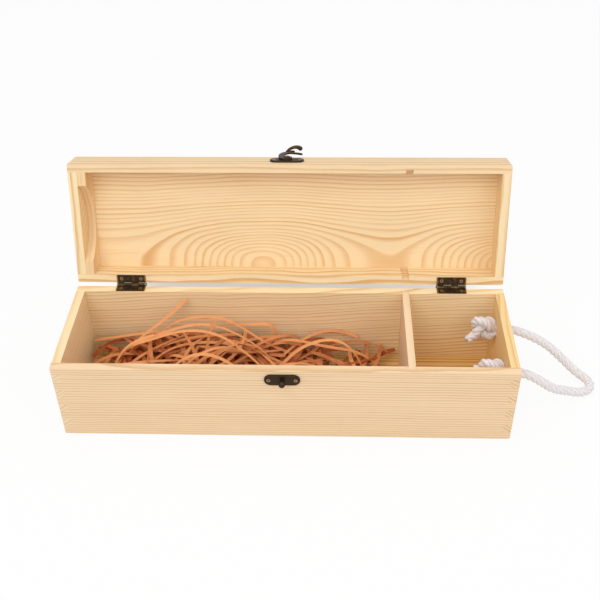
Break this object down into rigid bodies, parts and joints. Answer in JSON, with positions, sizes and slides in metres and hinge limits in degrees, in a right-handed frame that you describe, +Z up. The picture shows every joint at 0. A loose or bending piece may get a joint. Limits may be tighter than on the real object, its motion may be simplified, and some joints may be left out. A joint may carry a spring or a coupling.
{
  "type": "wine box",
  "caption": "Pine box for a wine bottle: hinged lid with neck rest, divider, finger-jointed corners, hook catch, rope handle and shredded paper packing.",
  "frame": {"origin": "centre of the underside of the base", "axes": "+X along the box towards the rope handle, +Y towards the hinges, +Z up"},
  "size_m": [0.4261, 0.1763, 0.1692],
  "materials": {
    "pine": "sanded, unvarnished",
    "bronze": "antique bronze, worn on the edges",
    "nails": "antique bronze",
    "rope": "bleached cotton, laid in three strands",
    "packing": "shredded matt paper"
  },
  "bodies": {
    "base": {"base_front_board": "pine", "base_back_board": "pine", "base_left_end": "pine", "base_right_end": "pine", "base_bottom_panel": "pine", "divider_board": "pine", "hinge_left_base_leaf": "bronze", "hinge_right_base_leaf": "bronze", "hinge_left_pin": "bronze", "hinge_right_pin": "bronze", "hinge_base_nails": "nails", "catch_plate": "bronze", "catch_stud": "bronze", "catch_plate_nails": "nails", "rope_handle": "rope", "rope_knot_back": "rope", "rope_knot_front": "rope", "packing_strips": "packing"},
    "lid": {"lid_front_rail": "pine", "lid_back_rail": "pine", "lid_left_end": "pine", "lid_right_end": "pine", "lid_top_panel": "pine", "neck_rest": "pine", "hinge_left_lid_leaf": "bronze", "hinge_right_lid_leaf": "bronze", "hinge_lid_nails": "nails", "hasp_plate": "bronze", "hasp_plate_nails": "nails", "hasp_rivet": "bronze"},
    "hook": {"hasp_hook": "bronze"}
  },
  "joints": [
    {"name": "lid_hinge", "type": "hinge", "parent": "base", "child": "lid", "pos_m": [0, 0.0516, 0.0707], "axis": [1, 0, 0], "range_deg": [0, 107]},
    {"name": "hook_swing", "type": "hinge", "parent": "lid", "child": "hook", "pos_m": [-0.0012, 0.09202, 0.16459], "axis": [0, -0.2924, -0.9563], "range_deg": [-160, 169.5]}
  ]
}
